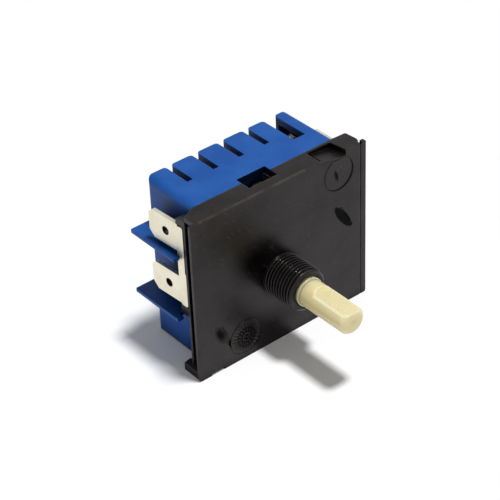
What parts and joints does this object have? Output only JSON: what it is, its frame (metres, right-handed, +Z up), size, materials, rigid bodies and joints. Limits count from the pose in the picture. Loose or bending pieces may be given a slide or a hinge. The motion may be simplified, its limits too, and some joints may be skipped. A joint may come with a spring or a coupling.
{
  "type": "cooktop element control switch",
  "caption": "Energy regulator for a cooktop element: black front plate with a threaded bush, ivory D spindle, blue vented housing, side blades, cam, bimetal and contacts inside.",
  "frame": {"origin": "spindle axis at the front face of the cover plate", "axes": "+X to the right seen from the front, +Y back from the plate through the housing, +Z up; the knob end of the spindle points to -Y"},
  "size_m": [0.045, 0.0406, 0.0376],
  "materials": {
    "blue_moulding": "satin moulded thermoset",
    "black_moulding": "satin moulded thermoset",
    "spindle_resin": "smooth, ivory",
    "cam_resin": "smooth, off-white",
    "tinned_strip": "tin-plated strip, dull",
    "spring_steel": "bright wire and strip",
    "leaf_alloy": "copper alloy spring strip",
    "contact_metal": "silver alloy",
    "rivet_metal": "plated",
    "lever_steel": "zinc-plated",
    "bimetal": "rolled strip",
    "mica": "layered, dull",
    "heater_wire": "oxidised resistance wire",
    "screw_brass": "turned",
    "white_ceramic": "unglazed"
  },
  "bodies": {
    "case": {"housing": "blue_moulding", "front_cover": "black_moulding", "return_spring": "spring_steel", "detent_spring": "spring_steel", "left_terminal": "tinned_strip", "upper_right_terminal": "tinned_strip", "middle_right_terminal": "tinned_strip", "lower_right_terminal": "tinned_strip", "line_fixed_contact": "contact_metal", "cycling_fixed_contact": "contact_metal", "arm_rivets": "rivet_metal", "pivot_pin": "lever_steel"},
    "cam_drum": {"cam": "cam_resin"},
    "control_spindle": {"spindle": "spindle_resin"},
    "line_switch_arm": {"line_arm": "leaf_alloy", "line_moving_contact": "contact_metal"},
    "cycling_switch_arm": {"snap_arm": "leaf_alloy", "cycling_moving_contact": "contact_metal"},
    "bimetal_assembly": {"bimetal_lever": "lever_steel", "bimetal_strip": "bimetal", "bimetal_rivets": "rivet_metal", "mica_sleeve": "mica", "heater_winding": "heater_wire", "calibration_screw": "screw_brass", "push_pin": "white_ceramic"}
  },
  "joints": [
    {"name": "spindle_turn", "type": "hinge", "parent": "case", "child": "cam_drum", "pos_m": [0, 0, 0], "axis": [0, 1, 0], "continuous": true},
    {"name": "spindle_push", "type": "slide", "parent": "cam_drum", "child": "control_spindle", "axis": [0, 1, 0], "range_m": [0, 0.0016], "stiffness_N_per_m": 600, "springref_m": -0.003, "deforming": ["return_spring"]},
    {"name": "line_arm_close", "type": "hinge", "parent": "case", "child": "line_switch_arm", "pos_m": [-0.01432, 0, 0.0024], "axis": [0, -1, 0], "range_deg": [0, 2.9], "stiffness_Nm_per_rad": 0.02},
    {"name": "cycling_arm_close", "type": "hinge", "parent": "case", "child": "cycling_switch_arm", "pos_m": [0.0142, 0, -0.001], "axis": [0, 1, 0], "range_deg": [0, 2.8], "stiffness_Nm_per_rad": 0.02},
    {"name": "bimetal_lift", "type": "hinge", "parent": "case", "child": "bimetal_assembly", "pos_m": [-0.0132, 0, 0.0142], "axis": [0, -1, 0], "range_deg": [0, 2]}
  ]
}
